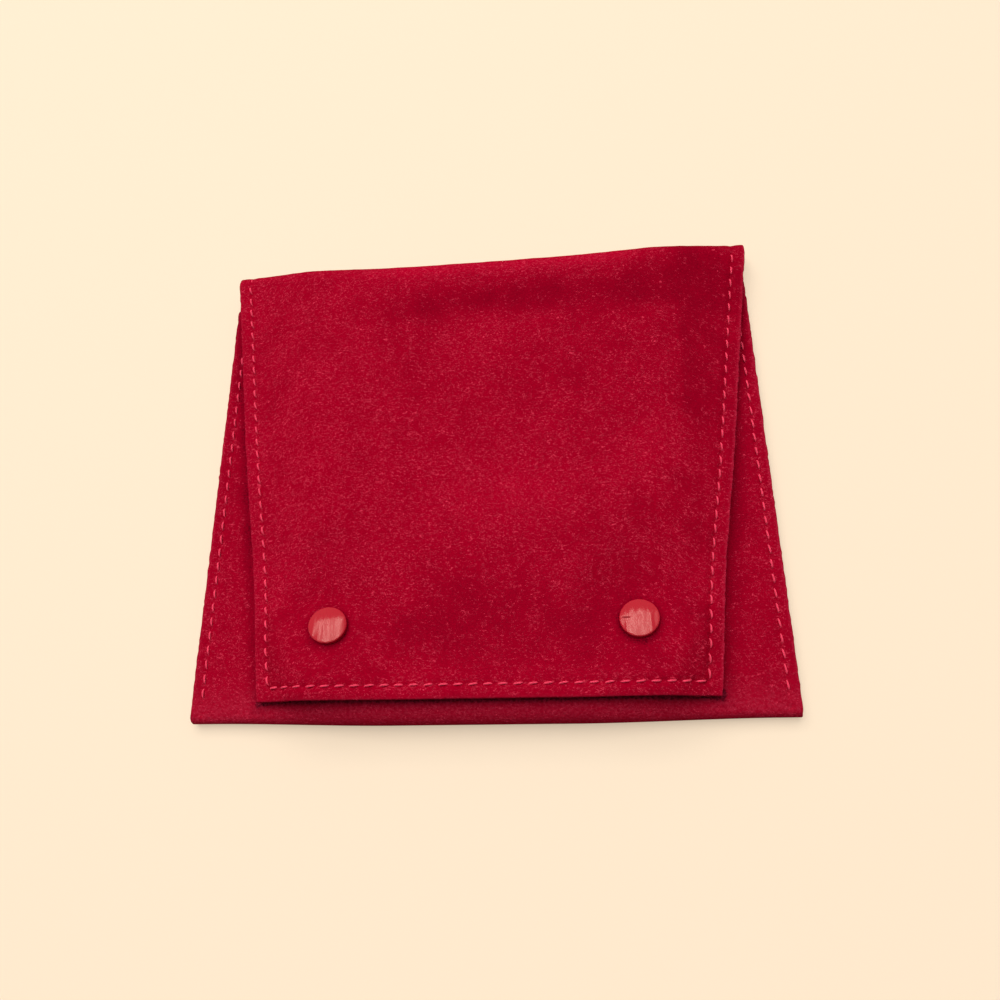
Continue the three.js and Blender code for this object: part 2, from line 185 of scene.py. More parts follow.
def fold_roll(x):
    """Radius of the bottom fold at x, and the y of its centre."""
    radius = front_height(x, FOLD_JOINT_END) / 2
    return radius, -HALF_HEIGHT + FOLD_BOW * (1 - puff(x, FOLD_JOINT_END)) + radius


def droop(x, side):
    """How far the flap has sunk from its level: 0 up to the studs and 1 at its side edge."""
    reach = STUDS["right"]["under"][0] + SEAT_HALF
    return ease((np.abs(x) - reach) / (side - reach))


def crease_roll(x):
    """Radius of the crease at x, and the y of its centre."""
    level = FLAP_LEVEL + (CREASE_END_LEVEL - FLAP_LEVEL) * droop(x, CREASE_WIDTH / 2)
    radius = (level + WALL) / 2
    return radius, HALF_HEIGHT - CREASE_BOW * puff(x, CREASE_JOINT_END) - radius


def columns(steps, inner):
    """Columns across a strip, as k and c with x = k * half_width + c.
    They keep fixed distances from each cut edge, and share the rest evenly into inner cells."""
    share = np.linspace(-1, 1, inner + 1)[1:-1]
    k = np.concatenate([-np.ones(len(steps)), share, np.ones(len(steps))])
    c = np.concatenate([steps, -share * steps[-1], -steps[::-1]])
    return k, c


def cloud(flat, size, seed):
    """Soft random field from -1 to 1: random heights on a lattice of that size, eased between."""
    lattice = np.random.default_rng(seed).uniform(-1, 1, (256, 256))
    place = flat / size
    cell = np.floor(place).astype(int)
    part = ease(place - cell)
    i, j = np.moveaxis(cell % 256, -1, 0)
    i_next, j_next = (i + 1) % 256, (j + 1) % 256
    low = lattice[i, j] * (1 - part[..., 0]) + lattice[i_next, j] * part[..., 0]
    high = lattice[i, j_next] * (1 - part[..., 0]) + lattice[i_next, j_next] * part[..., 0]
    return low * (1 - part[..., 1]) + high * part[..., 1]


def unit(vectors):
    """Vectors scaled to a length of 1."""
    return vectors / np.linalg.norm(vectors, axis=-1, keepdims=True)


def inward(face):
    """Unit normals from a visible face into the suede: the cross product of its two tangents."""
    return unit(np.cross(np.gradient(face, axis=1), np.gradient(face, axis=0)))


def lengths(face):
    """Flat coordinates of a strip in millimetres: x across, and the length run down each column."""
    step = np.linalg.norm(np.diff(face, axis=0), axis=-1)
    run = np.concatenate([np.zeros((1, face.shape[1])), np.cumsum(step, axis=0)])
    return np.stack([face[..., 0], run], axis=-1)


GROOVE_DEPTH = 0.13
NEEDLE_HOLE_DEPTH = 0.34
BULGE_HEIGHT = 0.07


def stitched(offset, along, pitch):
    """Depth that a row of stitches pulls into suede: a groove, a needle hole at each pitch, and a
    low bulge on both sides. offset is the distance from the row, along the distance run on it."""
    hole = (along / pitch - np.round(along / pitch)) * pitch
    groove = GROOVE_DEPTH * hump(offset / 0.75)
    pit = NEEDLE_HOLE_DEPTH * hump(offset / 0.34) * hump(hole / 0.42)
    bulge = BULGE_HEIGHT * hump((np.abs(offset) - 1.5) / 0.6)
    return groove + pit - bulge


def mesh_piece(name, points, faces, material, flat=None, fields=None):
    """A smooth mesh piece from millimetre points and a list of face arrays, each of one face size.
    flat goes to the UV map in millimetres, fields to point attributes. Its faces are turned outwards."""
    points = np.asarray(points, float).reshape(-1, 3)
    fans = np.concatenate([
        np.stack([f[:, 0], f[:, i], f[:, i + 1]], axis=1) for f in faces for i in range(1, f.shape[1] - 1)
    ])
    a, b, c = (points[fans[:, i]] for i in range(3))
    if (a * np.cross(b, c)).sum() < 0:
        faces = [f[:, ::-1] for f in faces]
    corner = np.concatenate([f.ravel() for f in faces])
    counts = np.concatenate([np.full(len(f), f.shape[1]) for f in faces])
    mesh = bpy.data.meshes.new(name)
    mesh.vertices.add(len(points))
    mesh.vertices.foreach_set("co", (points * MM).astype(np.float32).ravel())
    mesh.loops.add(len(corner))
    mesh.loops.foreach_set("vertex_index", corner.astype(np.int32))
    mesh.polygons.add(len(counts))
    mesh.polygons.foreach_set("loop_start", (np.cumsum(counts) - counts).astype(np.int32))
    if flat is not None:
        layer = mesh.uv_layers.new(name="cut_mm")
        layer.data.foreach_set("uv", flat.reshape(-1, 2)[corner].astype(np.float32).ravel())
    for title, values in (fields or {}).items():
        layer = mesh.attributes.new(title, "FLOAT", "POINT")
        layer.data.foreach_set("value", values.astype(np.float32).ravel())
    mesh.update(calc_edges=True)
    mesh.shade_smooth()
    mesh.set_sharp_from_angle(angle=SHARP_FROM)
    mesh.materials.append(material)
    piece = bpy.data.objects.new(name, mesh)
    bpy.context.scene.collection.objects.link(piece)
    return piece


def ply(name, strip, top, bottom, fields, material):
    """One closed ply of a strip, given as its face, the normals into it and its flat coordinates.
    It fills the depths from top to bottom below that face, with a wall round its rim."""
    face, into, flat = strip
    rows, cols = face.shape[:2]
    count = rows * cols
    grid = np.arange(count).reshape(rows, cols)
    cells = np.stack([grid[:-1, :-1], grid[:-1, 1:], grid[1:, 1:], grid[1:, :-1]], axis=-1).reshape(-1, 4)
    rim = np.concatenate([grid[0, :-1], grid[:-1, -1], grid[-1, :0:-1], grid[:0:-1, 0]])
    after = np.roll(rim, -1)
    wall = np.stack([after, rim, rim + count, after + count], axis=1)
    faces = [np.concatenate([cells, cells[:, ::-1] + count, wall])]
    points = np.stack([face + into * depth[..., None] for depth in (top, bottom)])
    both = {title: np.tile(values.ravel(), 2) for title, values in fields.items()}
    return mesh_piece(name, points, faces, material, np.tile(flat.reshape(-1, 2), (2, 1)), both)


def rounding(edge):
    """How far a face has dropped near its cut edge: a quarter round of CUT_ROUNDING."""
    inside = CUT_ROUNDING - np.minimum(edge, CUT_ROUNDING)
    return CUT_ROUNDING - np.sqrt(np.maximum(CUT_ROUNDING**2 - inside**2, 0))


# Distances from a cut edge at which the grids have lines, close together at the edge and at the stitches
EDGE_STEPS = np.array([
    0, 0.04, 0.1, 0.18, 0.3, 0.5, 0.8, 1.15, 1.5, 1.85, 2.15, 2.4, 2.5, 2.7, 2.9, 3.1, 3.35, 3.7,
    4.1, 4.6, 5.2, CORNER_STITCH,
])
MARGINS = (SEAM_MARGIN, HEM_MARGIN, MOUTH_MARGIN)
SEAM_LINE, HEM_LINE, MOUTH_LINE = (int(np.argmin(np.abs(EDGE_STEPS - margin))) for margin in MARGINS)
MOUTH_STITCHES = 36
FRONT_STITCHES = 29
BACK_STITCHES = 33
ROWS_PER_SEAM_STITCH = 4
COLUMNS_PER_MOUTH_STITCH = 3
FOLD_ROWS = 14


def edge_distance(k, c, rows):
    """Distance of each grid point to the nearest cut edge: the two sides, and the end at the first row."""
    to_side = np.abs(np.where(np.abs(k) == 1, c, HALF_HEIGHT))
    to_end = np.full(rows, float(HALF_HEIGHT))
    to_end[: len(EDGE_STEPS)] = EDGE_STEPS
    return np.minimum(to_side[None, :], to_end[:, None])


def pocket_face():
    """Outline surface of the pocket strip, in rows from the mouth down the front, round the fold and up
    the back. Returns its points, their distance to the nearest cut edge, and the first row of the fold
    and of the back."""
    k, c = columns(EDGE_STEPS, MOUTH_STITCHES * COLUMNS_PER_MOUTH_STITCH)
    guess = k * body_side(FOLD_JOINT_END) + c
    radius, joint = fold_roll(guess)
    _, crease_joint = crease_roll(k * CREASE_WIDTH / 2 + c)
    mouth = MOUTH_END - EDGE_STEPS[:-1, None] + 0 * guess
    start = MOUTH_END - CORNER_STITCH
    down = np.linspace(0, 1, FRONT_STITCHES * ROWS_PER_SEAM_STITCH + 1)[:, None]
    y = np.concatenate([mouth, start + (joint - start) * down])
    x = k * (body_side(y) - mouth_corner(y)) + c
    front = np.stack([x, y, front_height(x, y)], axis=-1)
    turn = np.linspace(math.pi / 2, -math.pi / 2, FOLD_ROWS + 1)[1:, None]
    roll = np.stack([
        guess + 0 * turn, joint - radius * np.cos(turn), radius + radius * np.sin(turn),
    ], axis=-1)
    up = np.linspace(0, 1, BACK_STITCHES * ROWS_PER_SEAM_STITCH + 1)[1:, None]
    y = joint + (crease_joint - joint) * up
    back = np.stack([k * body_side(y) + c, y, 0 * y], axis=-1)
    face = np.concatenate([front, roll, back])
    return face, edge_distance(k, c, len(face)), len(front), len(front) + len(roll)


def ragged(face, flat, edge):
    """Cut edges aren't perfectly straight: points near a side edge move in or out by up to CUT_RAG."""
    shift = CUT_RAG * cloud(flat + 40, 0.85, 3) * (1 - ease(edge / 0.7))
    moved = face.copy()
    moved[..., 0] += np.sign(face[..., 0]) * shift
    return moved


pocket, pocket_edge, fold_row, back_row = pocket_face()
pocket_flat = lengths(pocket)
pocket = ragged(pocket, pocket_flat, pocket_edge)
pocket_in = inward(pocket)
rows_in_front = (np.arange(len(pocket)) < fold_row)[:, None]
rows_in_back = (np.arange(len(pocket)) >= back_row)[:, None]
side_distance = body_side(pocket[..., 1]) - np.abs(pocket[..., 0])
front_pitch = (pocket_flat[fold_row - 1, 0, 1] - CORNER_STITCH) / FRONT_STITCHES
back_pitch = (pocket_flat[-1, 0, 1] - pocket_flat[back_row - 1, 0, 1]) / BACK_STITCHES
mouth_pitch = 2 * (body_side(MOUTH_END - MOUTH_MARGIN) - CORNER_STITCH) / MOUTH_STITCHES


def side_seam_pull():
    """Relief of the two side seams on the front and on the back of the pocket."""
    run = pocket_flat[..., 1]
    front = stitched(side_distance - SEAM_MARGIN, run - CORNER_STITCH, front_pitch)
    back = stitched(side_distance - SEAM_MARGIN, run - pocket_flat[back_row - 1, :, 1], back_pitch)
    back = np.maximum(back + 0.16 * hump((side_distance - SEAM_MARGIN) / 0.9), 0)
    return front * rows_in_front + back * rows_in_back


def mouth_hem_pull():
    """Relief of the hem row below the pocket's mouth, between the two side seams."""
    below = MOUTH_END - pocket[..., 1]
    inside = ease((side_distance - SEAM_MARGIN - 1.5) / 1.5)
    pull = stitched(below - MOUTH_MARGIN, pocket[..., 0], mouth_pitch)
    return pull * inside * rows_in_front * (below < 8)


def uneven(flat):
    """Suede is never quite level: a ripple of a few hundredths of a millimetre."""
    return 0.035 * cloud(flat + 70, 1.7, 41) + 0.05 * cloud(flat + 70, 4.5, 42)


pocket_pull = side_seam_pull() + mouth_hem_pull() + uneven(pocket_flat) * rows_in_front


def colour(code):
    """sRGB hex to the linear RGBA that the shader sockets take."""
    parts = [int(code[i:i + 2], 16) / 255 for i in (0, 2, 4)]
    linear = [c / 12.92 if c <= 0.04045 else ((c + 0.055) / 1.055) ** 2.4 for c in parts]
    return (*linear, 1.0)


def feed(tree, node, inputs):
    """Sets input sockets of a node, each to a value or by a link from an output. inputs maps sockets
    to them, or lists them from the first socket on."""
    for socket, value in inputs.items() if isinstance(inputs, dict) else enumerate(inputs):
        if isinstance(value, bpy.types.NodeSocket):
            tree.links.new(value, node.inputs[socket])
        else:
            node.inputs[socket].default_value = value


def put(tree, kind, inputs=(), out=0, **settings):
    """Adds a shader node with its inputs and its settings (its properties), and returns its output out."""
    made = tree.nodes.new("ShaderNode" + kind)
    for name, value in settings.items():
        setattr(made, name, value)
    feed(tree, made, inputs)
    return made.outputs[out]


def new_material(name):
    """A new material, its node tree and its surface shader."""
    made = bpy.data.materials.new(name)
    made.use_nodes = True
    return made, made.node_tree, made.node_tree.nodes["Principled BSDF"]


# Brushed microsuede: a fine raised nap, so it is matt, deep in colour, and shows where it was stroked
# The darkest nap colour is a near-black painted shadow, which the painted shade of the pocket and flap
# reaches.
NAP_PAINTED_SHADOW = "40000e"
NAP_DARK = "80001a"
NAP_MIDDLE = "98001f"
NAP_LIGHT = "aa0025"
NAP_FLECK = "ea3c5a"
CUT_EDGE = "b82a45"
CURLS_PER_MM = 1.15
GAPS_PER_MM = 2.0
FIBRES_PER_MM = 3.2
MOTTLE_PER_MM = 0.16
STROKES_PER_MM = 0.4
DUST_PER_MM = 1.6
NAP_GRAIN = 0.6
NAP_STRETCH = 0.6
NAP_HEIGHT = 0.12 * MM
TIPS_PALER = 0.7


def brushed_suede(name, dark, middle, light):
    """Nap colours by the attribute nap, which holds stroked patches and painted light and shade, darkest at
    a near-black painted shadow. Its pale tips make fine fibres and curls, which lie flat and vanish in the
    darkest patches, and the attribute cut marks the dusty cut edges."""
    made, tree, shader = new_material(name)
    cloth = put(tree, "UVMap", uv_map="cut_mm")
    drawn = put(tree, "Mapping", {"Vector": cloth, "Scale": (NAP_STRETCH, 1, 1)})
    kinds = (
        (drawn, FIBRES_PER_MM, 3.0, 0.5), (cloth, MOTTLE_PER_MM, 4.0, 0),
        (cloth, STROKES_PER_MM, 2.0, 0), (cloth, DUST_PER_MM, 2.0, 0.5),
    )
    fibres, mottle, strokes, dust = (put(tree, "TexNoise", {
        "Vector": place, "Scale": scale, "Detail": detail, "Roughness": NAP_GRAIN, "Distortion": bent,
    }, noise_dimensions="2D") for place, scale, detail, bent in kinds)

    def varied(tone, noise, amount):
        """A tone that a noise makes lighter and darker by up to that amount."""
        change = put(tree, "MapRange", (noise, 0.3, 0.7, -amount, amount))
        return put(tree, "Math", (tone, change), operation="ADD")

    tone = varied(put(tree, "Attribute", out="Fac", attribute_name="nap"), mottle, 0.08)
    laid = put(tree, "MapRange", (varied(tone, strokes, 0.25), 0.05, 0.6, 0.2, 0.0))

    def curls(seed):
        """Thin lines where a noise crosses its middle, broken up by another, the more where laid is high."""
        moved = put(tree, "Mapping", {"Vector": drawn, "Location": (seed, 3 * seed, 0)})
        wander, gaps = (put(tree, "TexNoise", {
            "Vector": moved, "Scale": scale, "Detail": 2.0, "Roughness": NAP_GRAIN, "Distortion": bent,
        }, noise_dimensions="2D") for scale, bent in ((CURLS_PER_MM, 1.3), (GAPS_PER_MM, 0)))
        beside = put(tree, "Math", (wander, 0.5), operation="SUBTRACT")
        off = put(tree, "Math", (beside,), operation="ABSOLUTE")
        line = put(tree, "MapRange", (off, 0.005, 0.04, 1.0, 0.0))
        standing = put(tree, "Math", (gaps, laid), operation="SUBTRACT")
        whole = put(tree, "MapRange", (standing, 0.46, 0.58, 0.0, 1.0))
        return put(tree, "Math", (line, whole), operation="MULTIPLY")

    curled = put(tree, "Math", (curls(11), curls(37)), operation="MAXIMUM")
    raised = put(tree, "Math", (fibres, laid), operation="SUBTRACT")
    ends = put(tree, "MapRange", (raised, 0.62, 0.8, 0.0, 0.7))
    tips = put(tree, "Math", (curled, ends), operation="MAXIMUM")
    shade = put(tree, "MapRange", (varied(tone, fibres, 0.2), -0.25, 1.0, 0.0, 1.0))
    ramp = put(tree, "ValToRGB", (shade,))
    stops = ramp.node.color_ramp.elements
    # The lowest tones turn into the near-black painted shadow colour.
    stops[0].color = colour(NAP_PAINTED_SHADOW)
    stops[1].color = colour(light)
    stops.new(0.2).color = colour(dark)
    stops.new(0.6).color = colour(middle)
    paler = put(tree, "Math", (tips, TIPS_PALER), operation="MULTIPLY")
    tipped = put(tree, "Mix", {0: paler, 6: ramp, 7: colour(NAP_FLECK)}, out=2, data_type="RGBA")
    cut = put(tree, "Attribute", out="Fac", attribute_name="cut")
    powder = put(tree, "MapRange", (dust, 0.42, 0.6, 0.25, 1.0))
    share = put(tree, "Math", (cut, powder), operation="MULTIPLY")
    dusty = put(tree, "Mix", {0: share, 6: tipped, 7: colour(CUT_EDGE)}, out=2, data_type="RGBA")
    pile = put(tree, "Math", (tips, fibres), operation="ADD")
    bump = put(tree, "Bump", {"Strength": 0.6, "Distance": NAP_HEIGHT, "Height": pile})
    feed(tree, shader, {"Base Color": dusty, "Normal": bump, "Roughness": 0.95, "Specular IOR Level": 0.01})
    return made


outer_suede = brushed_suede("brushed_microsuede", NAP_DARK, NAP_MIDDLE, NAP_LIGHT)


def cut_share(edge):
    """Dustiness of the cut edge of a ply, fading out within a millimetre."""
    return 0.6 * (1 - ease(edge / 0.9))


def pocket_nap():
    """Stroked patches of the pocket: lighter at the left side and duller round the fold, with painted shade
    beside the flap's edges and a dark painted shadow along the line where the flap ends."""
    x, run = pocket_flat[..., 0], pocket_flat[..., 1]
    left = 0.05 * ease((-x - 35) / 20)
    fold = 0.36 * hump((run - run[fold_row] - 9) / 5)
    # Painted shadow: a dark line across the front panel under the flap's free end, which also shows when the
    # flap is open.
    painted_slot_shadow = 1.15 * hump((pocket[..., 1] - FLAP_END_SHADOW_LINE) / 0.95) * rows_in_front * (np.abs(x) < 49)
    flap_edge_at = np.interp(pocket[..., 1], [-48.5, CREASE_JOINT_END], [48.5, CREASE_WIDTH / 2])
    # Painted shade: darker bands beside the flap's two side edges, where the flap's shadow falls.
    painted_edge_shade = 0.3 * hump((x - flap_edge_at - 1) / 2.2) + 0.5 * hump((x + flap_edge_at + 0.9) / 1.5)
    return 0.5 + left - fold - painted_edge_shade * rows_in_front - painted_slot_shadow + 0.1 * cloud(pocket_flat, 17, 5)


dusty_fold = 0.4 * hump((pocket_flat[..., 1] - pocket_flat[fold_row, :, 1]) / 5)
pocket_fields = {"nap": pocket_nap(), "cut": np.maximum(cut_share(pocket_edge), dusty_fold)}
pocket_strip = (pocket, pocket_in, pocket_flat)
pocket_round = rounding(pocket_edge)
suede_pocket = ply(
    "suede_pocket", pocket_strip, pocket_round + pocket_pull, PLY - pocket_round, pocket_fields,
    outer_suede,
)
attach(suede_pocket, "pouch")
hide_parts("outer_front", "outer_fold", "outer_back")

# Lining of the pocket
# The same strip again in suede of a slightly duller batch, bonded behind the first by a thin glue line.
# It shows inside the pocket, and as the second ply along every cut edge.
LINING_DARK = "7c001b"
LINING_MIDDLE = "960a24"
LINING_LIGHT = "ab1630"
lining_suede = brushed_suede("brushed_microsuede_lining", LINING_DARK, LINING_MIDDLE, LINING_LIGHT)

lining_fields = {"nap": 0.45 + 0.12 * cloud(pocket_flat, 15, 11), "cut": cut_share(pocket_edge)}
suede_pocket_lining = ply(
    "suede_pocket_lining", pocket_strip, WALL - pocket_round, PLY + GLUE_LINE + pocket_round, lining_fields,
    lining_suede,
)
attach(suede_pocket_lining, "pouch")
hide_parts("lining_front", "lining_fold", "lining_back")

# Outer suede of the flap
# The strip goes on over the crease and comes down as the flap, which narrows to its free end.
# A row of lockstitch holds its two plies together round three sides.
FLAP_END_WIDTH = 97
FLAP_CORNER_LIFT = 2.0
FLAP_END_LIFT = 1.2
FLAP_END_RISE = 10
FLAP_WAIST = 0.65
CREASE_CORNER = 0.4
CREASE_SKEW = 0.5
CREASE_RELIEF = 0.45
CAP_LIP = 0.28
flap_low, _ = corners_of("outer_flap")
FLAP_END = flap_low[1]
FLAP_SIDE_STITCHES = 31
FLAP_END_STITCHES = 28
ROWS_PER_HEM_STITCH = 6
COLUMNS_PER_HEM_STITCH = 5
CREASE_STITCHES = 3
ROWS_PER_CREASE_STITCH = 10


def flap_side(y):
    """Half width of the flap at y: a taper to its free end, drawn in a little where the studs pull."""
    taper = np.interp(y, [FLAP_END, CREASE_JOINT_END], [FLAP_END_WIDTH / 2, CREASE_WIDTH / 2])
    return taper - FLAP_WAIST * hump((y + 22) / 17)


def flap_height(x, y, side):
    """Top of the flap: level up to the studs, lifted along its free end, and drooping to its sides."""
    t = np.clip((y - FLAP_END) / (CREASE_JOINT_END - FLAP_END), 0, 1)
    corner = SEAM_TOP + FLAP_CORNER_LIFT
    edge_level = corner + (CREASE_END_LEVEL - corner) * t
    level = FLAP_LEVEL + FLAP_END_LIFT * ease((FLAP_END + FLAP_END_RISE - y) / FLAP_END_RISE)
    return seated(x, y, level + (edge_level - level) * droop(x, side), "under") + WALL


def flap_waves(x, y):
    """Height added by the flap's slack: a hollow and a low ridge by the crease's right half, and slow
    waves, all of them stilled at the studs."""
    hollow = -0.42 * hump((y - 38) / 6) * ease((x + 22) / 24) * ease((60 - x) / 12)
    ridge = 0.22 * hump((y - 49) / 4) * ease((x + 5) / 30)
    slow = 0.16 * cloud(np.stack([x + 90, y + 90], axis=-1), 21, 8)
    left, right = stud_pull(x, y, "under")
    return (hollow + ridge + slow) * (1 - left) * (1 - right)


def flap_face():
    """Outline surface of the flap strip, rows from the back joint round the crease to the free end.
    Returns the points, the distance to the nearest cut edge, and the first row past the crease."""
    k, c = columns(EDGE_STEPS, FLAP_END_STITCHES * COLUMNS_PER_HEM_STITCH)
    x = k * CREASE_WIDTH / 2 + c
    radius, joint = crease_roll(x)
    turn = np.linspace(-math.pi / 2, math.pi / 2, CREASE_STITCHES * ROWS_PER_CREASE_STITCH + 1)[:, None]
    worn = x - k * CREASE_CORNER * np.cos(turn) ** 8
    roll = np.stack([worn, joint + radius * np.cos(turn), radius + radius * np.sin(turn)], axis=-1)
    stop = FLAP_END + CORNER_STITCH
    down = np.linspace(0, 1, FLAP_SIDE_STITCHES * ROWS_PER_HEM_STITCH + 1)[1:, None]
    y = np.concatenate([joint + (stop - joint) * down, FLAP_END + EDGE_STEPS[-2::-1, None] + 0 * x])
    side = flap_side(y)
    x = k * side + c
    panel = np.stack([x, y, flap_height(x, y, side)], axis=-1)
    face = np.concatenate([roll, panel])
    waves = flap_waves(face[..., 0], face[..., 1])
    waves[: len(roll)] *= ease(turn / math.pi + 0.5)
    face = face - inward(face) * waves[..., None]
    return face, edge_distance(k, c, len(face))[::-1], len(roll)


flap, flap_edge, panel_row = flap_face()
flap_flat = lengths(flap) + [0, pocket_flat[-1, 0, 1]]
flap = ragged(flap, flap_flat, flap_edge)
flap_in = inward(flap)
hem_pitch = (flap_flat[-len(EDGE_STEPS), 0, 1] - flap_flat[panel_row - 1, 0, 1]) / FLAP_SIDE_STITCHES
end_pitch = 2 * (FLAP_END_WIDTH / 2 - CORNER_STITCH) / FLAP_END_STITCHES


def hem_pull():
    """Relief of the hem round the flap: two side rows that run on over the crease, and the end row."""
    x, y = flap[..., 0], flap[..., 1]
    on_panel = (np.arange(len(flap)) >= panel_row)[:, None]
    from_side = np.where(on_panel, flap_side(y), CREASE_WIDTH / 2) - np.abs(x)
    from_end = np.where(on_panel, y - FLAP_END, HALF_HEIGHT)
    run = flap_flat[..., 1] - flap_flat[panel_row - 1, :, 1]
    roll_pitch = (flap_flat[panel_row - 1, 0, 1] - flap_flat[0, 0, 1]) / CREASE_STITCHES
    pitch = np.where(on_panel, hem_pitch, roll_pitch)
    side_row = stitched(from_side - HEM_MARGIN, run, pitch) * ease((from_end - HEM_MARGIN + 0.6) / 0.5)
    end_row = stitched(from_end - HEM_MARGIN, x, end_pitch) * ease((from_side - HEM_MARGIN + 0.6) / 0.5)
    both = np.maximum(side_row, end_row) + np.minimum(np.minimum(side_row, end_row), 0)
    return both * np.where(on_panel, 1, CREASE_RELIEF)


def from_cap(stud):
    """How far each point of the flap is from the middle of a stud's cap, as seen from above."""
    return np.hypot(flap[..., 0] - stud["under"][0], flap[..., 1] - stud["under"][1])


def cap_press():
    """How far the lips of the two caps press the nap down."""
    edge = CAP_DIAMETER / 2 + 0.2
    return sum(CAP_LIP * (1 - ease((from_cap(stud) - edge) / 1.5)) for stud in STUDS.values())


def flap_nap():
    """Stroked patches of the flap, with painted light and shade: a painted highlight along the crease over
    painted shade in the hollow below it, a darker upper right with a sharp left border, dull stretches at
    the studs, and pale clouds in the middle. Painted light lifts the dips above the caps and the drooping
    right corner, and painted shade darkens the caps' rims, the crease and the free end."""
    x, y = flap[..., 0], flap[..., 1]
    across = 0.1 * ease((-x - 10) / 50) - 0.1 * ease((x + 5) / 40)
    # Painted shade in the hollow below the crease, and a painted highlight on the ridge along it, over the
    # real relief of flap_waves.
    hollow = 0.34 * hump((y - 40.3 - 0.03 * x) / 4) * ease((x + 38) / 26)
    ridge = 0.46 * hump((y - 51) / 4) * ease((x + 34) / 20) * ease((42 - x) / 14)
    upper_right = 0.2 * ease((x - 43.5) / 1.2) * ease((y - 6) / 8) * ease((60 - x) / 8)
    low = 0.18 * hump((y + 31) / 13) * (1 - 0.4 * hump((x + 48) / 8))
    pale = 0.26 * hump(np.hypot((x - 9) / 15, (y + 5) / 8))
    pale += 0.26 * hump(np.hypot((x - 35) / 9, (y - 3) / 8))
    # Painted light that lifts the shaded, drooping right corner.
    pale += 0.12 * ease((x - 34) / 5) * hump((y + 40) / 10)
    patches = 0.09 * cloud(flap_flat, 13, 21) + 0.05 * cloud(flap_flat, 5.5, 22)
    turned = np.concatenate([np.linspace(-90, 90, panel_row), np.full(len(flap) - panel_row, 180)])[:, None]
    # Painted shade: a dark line along the crease's far side, at its outline.
    worn = 0.66 * hump((turned - 14) / 15)
    for stud in STUDS.values():
        # Painted shade: a dark ring of contact shadow round each cap's rim.
        worn = worn + 0.35 * hump((from_cap(stud) - CAP_DIAMETER / 2) / 0.8)
        # Painted light over the shaded dips above the caps.
        pale += 0.26 * hump((from_cap(stud) - 15.5) / 5) * ease((y - stud["under"][1]) / 6)
    stroked = 0.56 + across - hollow + ridge - upper_right - low + pale + patches
    # Painted shade along the free end's edge.
    return np.maximum(stroked, 0.2) - worn - 0.45 * hump((y - FLAP_END) / 0.45)


def skewed(face):
    """The crease isn't folded quite square: it sits CREASE_SKEW to the right, and the free end doesn't."""
    share = np.clip((face[..., 1] - FLAP_END) / (CREASE_JOINT_END - FLAP_END), 0, 1)
    share = np.minimum(share, ease(face[..., 2] / (CREASE_END_LEVEL / 2)))
    moved = face.copy()
    moved[..., 0] += CREASE_SKEW * share
    return moved


cleaner = np.maximum(ease((-40 - flap[..., 0]) / 4), ease((FLAP_END + 1.2 - flap[..., 1]) / 0.6))
flap_cut = cut_share(flap_edge) * (1 - 0.6 * cleaner)
flap_fields = {"nap": flap_nap(), "cut": flap_cut}
flap_round = rounding(flap_edge)
hem = hem_pull()
relief = flap_round + hem + cap_press() + uneven(flap_flat)
flap = skewed(flap)
flap_strip = (flap, flap_in, flap_flat)
suede_flap = ply("suede_flap", flap_strip, relief, PLY - flap_round, flap_fields, outer_suede)


def turn_with_flap(piece):
    """The piece's placement is baked into its mesh."""
    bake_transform(piece)


turn_with_flap(suede_flap)
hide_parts("outer_crease", "outer_flap")

# Lining of the flap
# The lining's strip follows the flap all the way, and shows when the flap is opened.
# The bobbin thread pulls the same row of grooves into it.
BOBBIN_PULL = 0.8
flap_lining_fields = {"nap": 0.45 + 0.14 * cloud(flap_flat, 14, 31), "cut": flap_cut}
suede_flap_lining = ply(
    "suede_flap_lining", flap_strip, WALL - flap_round - BOBBIN_PULL * hem, PLY + GLUE_LINE + flap_round,
    flap_lining_fields, lining_suede,
)
turn_with_flap(suede_flap_lining)
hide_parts("lining_crease", "lining_flap")

# Stitches
# Polyester sewing thread of about 0.4 mm, two shades lighter than the suede, in lockstitches of 3 mm.
# Each stitch lies on the nap, leans a little off its row, and dives into a needle hole at both ends.
THREAD_DIAMETER = 0.44
STITCH_SHOWN = 0.68
STITCH_RINGS = 9
STITCH_SIDES = 9
STITCH_DEPTH = 0.05
BOBBIN_DEPTH = 0.42
BOBBIN_START = 3
SIDE_LEAN = 0.2
SEAM_LEAN = 0.14
END_LEAN = 0.13
THREAD_PALE = "ff5272"
THREAD_DEEP = "f03254"
THREAD_SLANT = math.radians(35)


def sewing_thread():
    """Filament polyester: fine slanted plies, a soft gloss, and deeper red between the plies."""
    made, tree, shader = new_material("polyester_thread")
    strand = put(tree, "UVMap", uv_map="cut_mm")
    slanted = put(tree, "Mapping", {"Vector": strand, "Rotation": (0, 0, THREAD_SLANT)})
    plies = put(tree, "TexWave", {"Vector": slanted, "Scale": 1.6, "Distortion": 1.0}, out="Fac")
    mixed = put(tree, "Mix", {
        0: plies, 6: colour(THREAD_DEEP), 7: colour(THREAD_PALE),
    }, out=2, data_type="RGBA")
    bump = put(tree, "Bump", {"Strength": 0.5, "Distance": 0.06 * MM, "Height": plies})
    feed(tree, shader, {"Base Color": mixed, "Normal": bump, "Roughness": 0.6, "Specular IOR Level": 0.1})
    return made


thread = sewing_thread()


def circle(sides):
    """Angles of the corners of a circle of that many sides."""
    return np.arange(sides) * 2 * math.pi / sides


def bands(rings, following):
    """Four-cornered faces between closed rings of point numbers and the rings that follow them."""
    turned = [rings, np.roll(rings, -1, axis=-1), np.roll(following, -1, axis=-1), following]
    return np.stack(turned, axis=-1).reshape(-1, 4)


